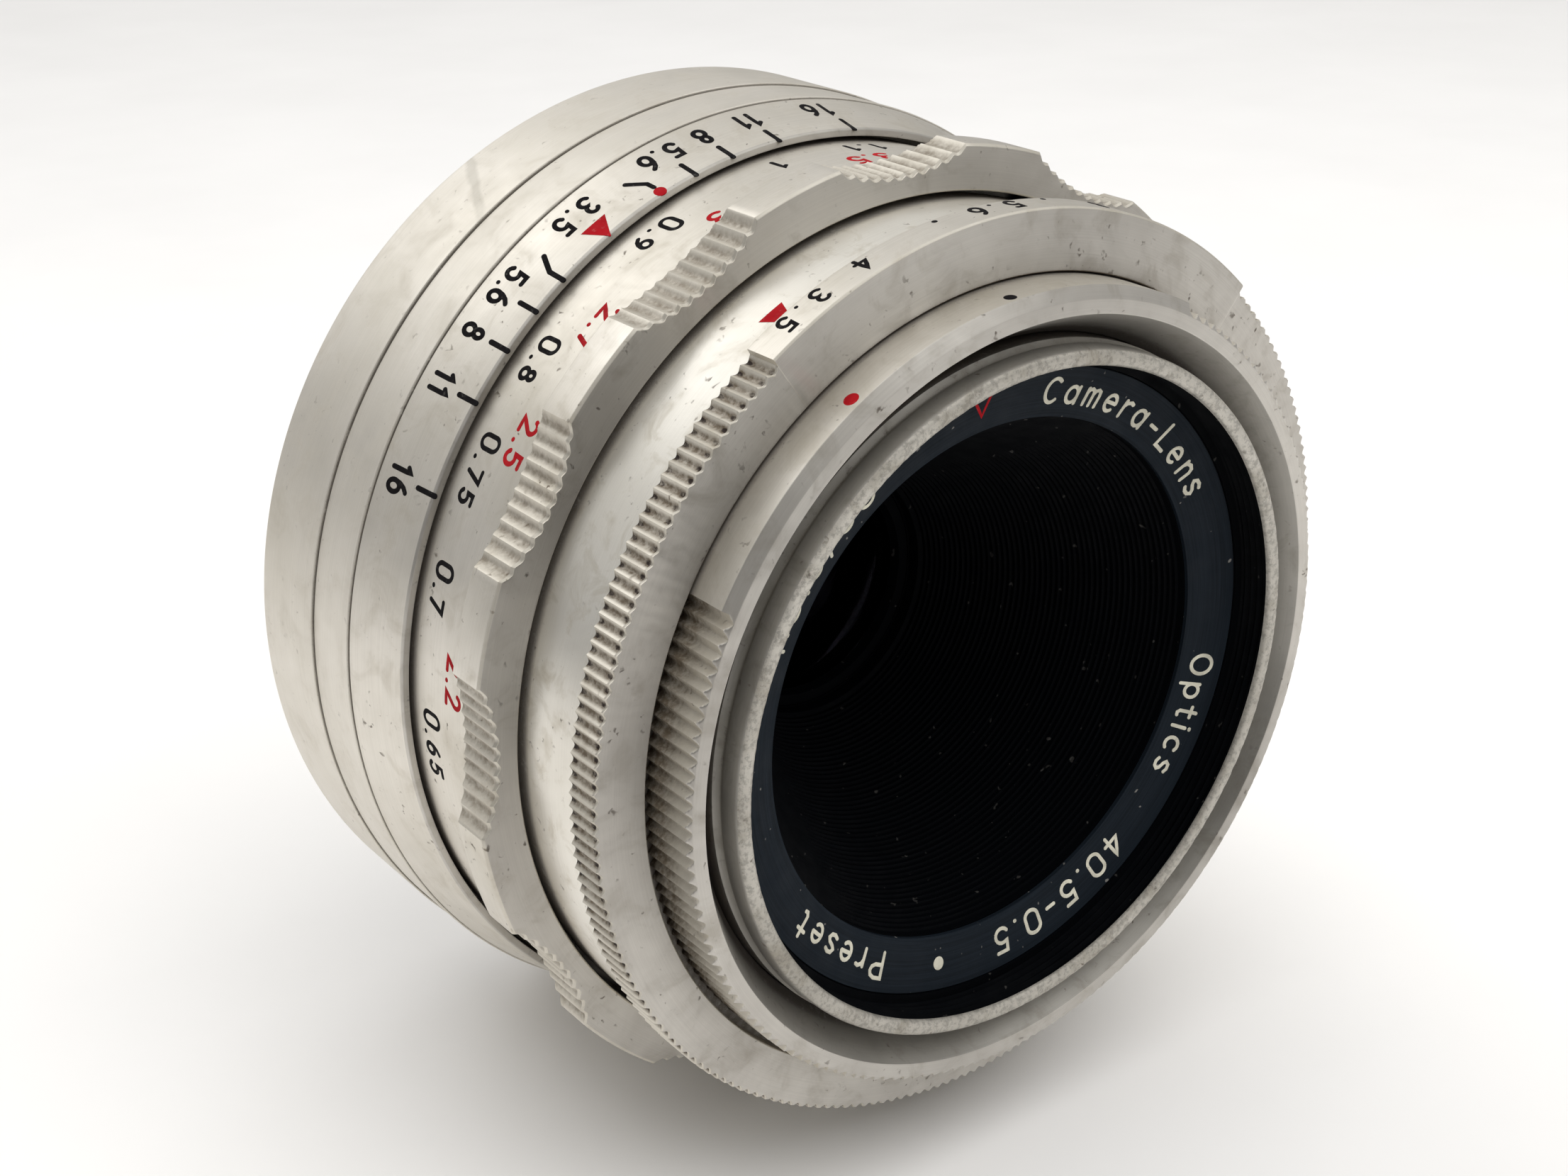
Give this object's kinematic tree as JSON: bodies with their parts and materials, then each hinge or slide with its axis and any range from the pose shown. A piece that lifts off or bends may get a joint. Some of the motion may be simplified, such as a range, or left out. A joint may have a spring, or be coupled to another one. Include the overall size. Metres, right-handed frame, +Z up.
{
  "type": "camera lens",
  "caption": "Compact 50 mm f/3.5 preset lens: helical focusing mount, preset stop ring, front aperture ring and ten-blade iris behind a recessed front element.",
  "frame": {"origin": "on the optical axis at the rear flange face, where the mounting thread starts", "axes": "-Y along the optical axis towards the front of the lens, +Z up with the lens lying on its side and the scale index just left of the top, +X to the right seen from the front"},
  "size_m": [0.0618, 0.0411, 0.0618],
  "materials": {
    "bright_aluminium": "satin, worn",
    "dull_aluminium": "turned, dull",
    "brass": "turned",
    "steel": "plain",
    "blackened_metal": "matte black",
    "iris_black": "matte black",
    "optical_glass": "polished, coated"
  },
  "bodies": {
    "mount": {"rear_shell": "bright_aluminium", "mount_flange": "dull_aluminium", "flange_screws": "steel", "retaining_collar": "bright_aluminium", "depth_scale_ring": "bright_aluminium", "fixed_barrel": "dull_aluminium", "guide_keys": "brass", "focus_stop_screw": "steel"},
    "focus": {"focus_grip": "bright_aluminium", "focus_helicoid": "brass", "focus_grip_screws": "steel"},
    "lens_head": {"head_sleeve": "dull_aluminium", "head_core": "dull_aluminium", "neck_shell": "bright_aluminium", "preset_stop_pin": "steel", "click_ball": "steel", "click_spring": "steel", "filter_collar": "bright_aluminium", "name_ring": "blackened_metal", "front_baffle": "blackened_metal", "front_cell": "brass", "front_element": "optical_glass", "front_retainer": "blackened_metal", "second_element": "optical_glass", "rear_cell": "brass", "doublet_front": "optical_glass", "doublet_rear": "optical_glass", "rear_retainer": "blackened_metal", "iris_base": "iris_black"},
    "preset": {"preset_ring": "bright_aluminium"},
    "aperture": {"aperture_ring": "bright_aluminium", "drive_screws": "steel", "iris_drive_tube": "brass", "iris_cam_ring": "iris_black"},
    "b_blade_01": {"iris_blade_01": "iris_black"},
    "b_blade_02": {"iris_blade_02": "iris_black"},
    "b_blade_03": {"iris_blade_03": "iris_black"},
    "b_blade_04": {"iris_blade_04": "iris_black"},
    "b_blade_05": {"iris_blade_05": "iris_black"},
    "b_blade_06": {"iris_blade_06": "iris_black"},
    "b_blade_07": {"iris_blade_07": "iris_black"},
    "b_blade_08": {"iris_blade_08": "iris_black"},
    "b_blade_09": {"iris_blade_09": "iris_black"},
    "b_blade_10": {"iris_blade_10": "iris_black"}
  },
  "joints": [
    {"name": "focus_turn", "type": "hinge", "parent": "mount", "child": "focus", "pos_m": [0, -0.024, 0], "axis": [0, -1, 0], "range_deg": [-63.47, 153.47]},
    {"name": "head_slide", "type": "slide", "parent": "mount", "child": "lens_head", "axis": [0, -1, 0], "range_m": [-0.00324, 0.00134]},
    {"name": "preset_turn", "type": "hinge", "parent": "lens_head", "child": "preset", "pos_m": [0, -0.0322, 0], "axis": [0, -1, 0], "range_deg": [0, 66]},
    {"name": "aperture_turn", "type": "hinge", "parent": "lens_head", "child": "aperture", "pos_m": [0, -0.0345, 0], "axis": [0, -1, 0], "range_deg": [0, 26.3]},
    {"name": "blade_hinge_01", "type": "hinge", "parent": "lens_head", "child": "b_blade_01", "pos_m": [0.0104, -0.009, 0], "axis": [0, -1, 0], "range_deg": [0, 28.93]},
    {"name": "blade_hinge_02", "type": "hinge", "parent": "lens_head", "child": "b_blade_02", "pos_m": [0.00841, -0.009, 0.00611], "axis": [0, -1, 0], "range_deg": [0, 28.93]},
    {"name": "blade_hinge_03", "type": "hinge", "parent": "lens_head", "child": "b_blade_03", "pos_m": [0.00321, -0.009, 0.00989], "axis": [0, -1, 0], "range_deg": [0, 28.93]},
    {"name": "blade_hinge_04", "type": "hinge", "parent": "lens_head", "child": "b_blade_04", "pos_m": [-0.00321, -0.009, 0.00989], "axis": [0, -1, 0], "range_deg": [0, 28.93]},
    {"name": "blade_hinge_05", "type": "hinge", "parent": "lens_head", "child": "b_blade_05", "pos_m": [-0.00841, -0.009, 0.00611], "axis": [0, -1, 0], "range_deg": [0, 28.93]},
    {"name": "blade_hinge_06", "type": "hinge", "parent": "lens_head", "child": "b_blade_06", "pos_m": [-0.0104, -0.009, 0], "axis": [0, -1, 0], "range_deg": [0, 28.93]},
    {"name": "blade_hinge_07", "type": "hinge", "parent": "lens_head", "child": "b_blade_07", "pos_m": [-0.00841, -0.009, -0.00611], "axis": [0, -1, 0], "range_deg": [0, 28.93]},
    {"name": "blade_hinge_08", "type": "hinge", "parent": "lens_head", "child": "b_blade_08", "pos_m": [-0.00321, -0.009, -0.00989], "axis": [0, -1, 0], "range_deg": [0, 28.93]},
    {"name": "blade_hinge_09", "type": "hinge", "parent": "lens_head", "child": "b_blade_09", "pos_m": [0.00321, -0.009, -0.00989], "axis": [0, -1, 0], "range_deg": [0, 28.93]},
    {"name": "blade_hinge_10", "type": "hinge", "parent": "lens_head", "child": "b_blade_10", "pos_m": [0.00841, -0.009, -0.00611], "axis": [0, -1, 0], "range_deg": [0, 28.93]}
  ],
  "couplings": [
    {"joint": "head_slide", "follows": "focus_turn", "m_per_rad": -0.0012096},
    {"joint": "blade_hinge_01", "follows": "aperture_turn", "ratio": 1.1},
    {"joint": "blade_hinge_02", "follows": "aperture_turn", "ratio": 1.1},
    {"joint": "blade_hinge_03", "follows": "aperture_turn", "ratio": 1.1},
    {"joint": "blade_hinge_04", "follows": "aperture_turn", "ratio": 1.1},
    {"joint": "blade_hinge_05", "follows": "aperture_turn", "ratio": 1.1},
    {"joint": "blade_hinge_06", "follows": "aperture_turn", "ratio": 1.1},
    {"joint": "blade_hinge_07", "follows": "aperture_turn", "ratio": 1.1},
    {"joint": "blade_hinge_08", "follows": "aperture_turn", "ratio": 1.1},
    {"joint": "blade_hinge_09", "follows": "aperture_turn", "ratio": 1.1},
    {"joint": "blade_hinge_10", "follows": "aperture_turn", "ratio": 1.1}
  ]
}
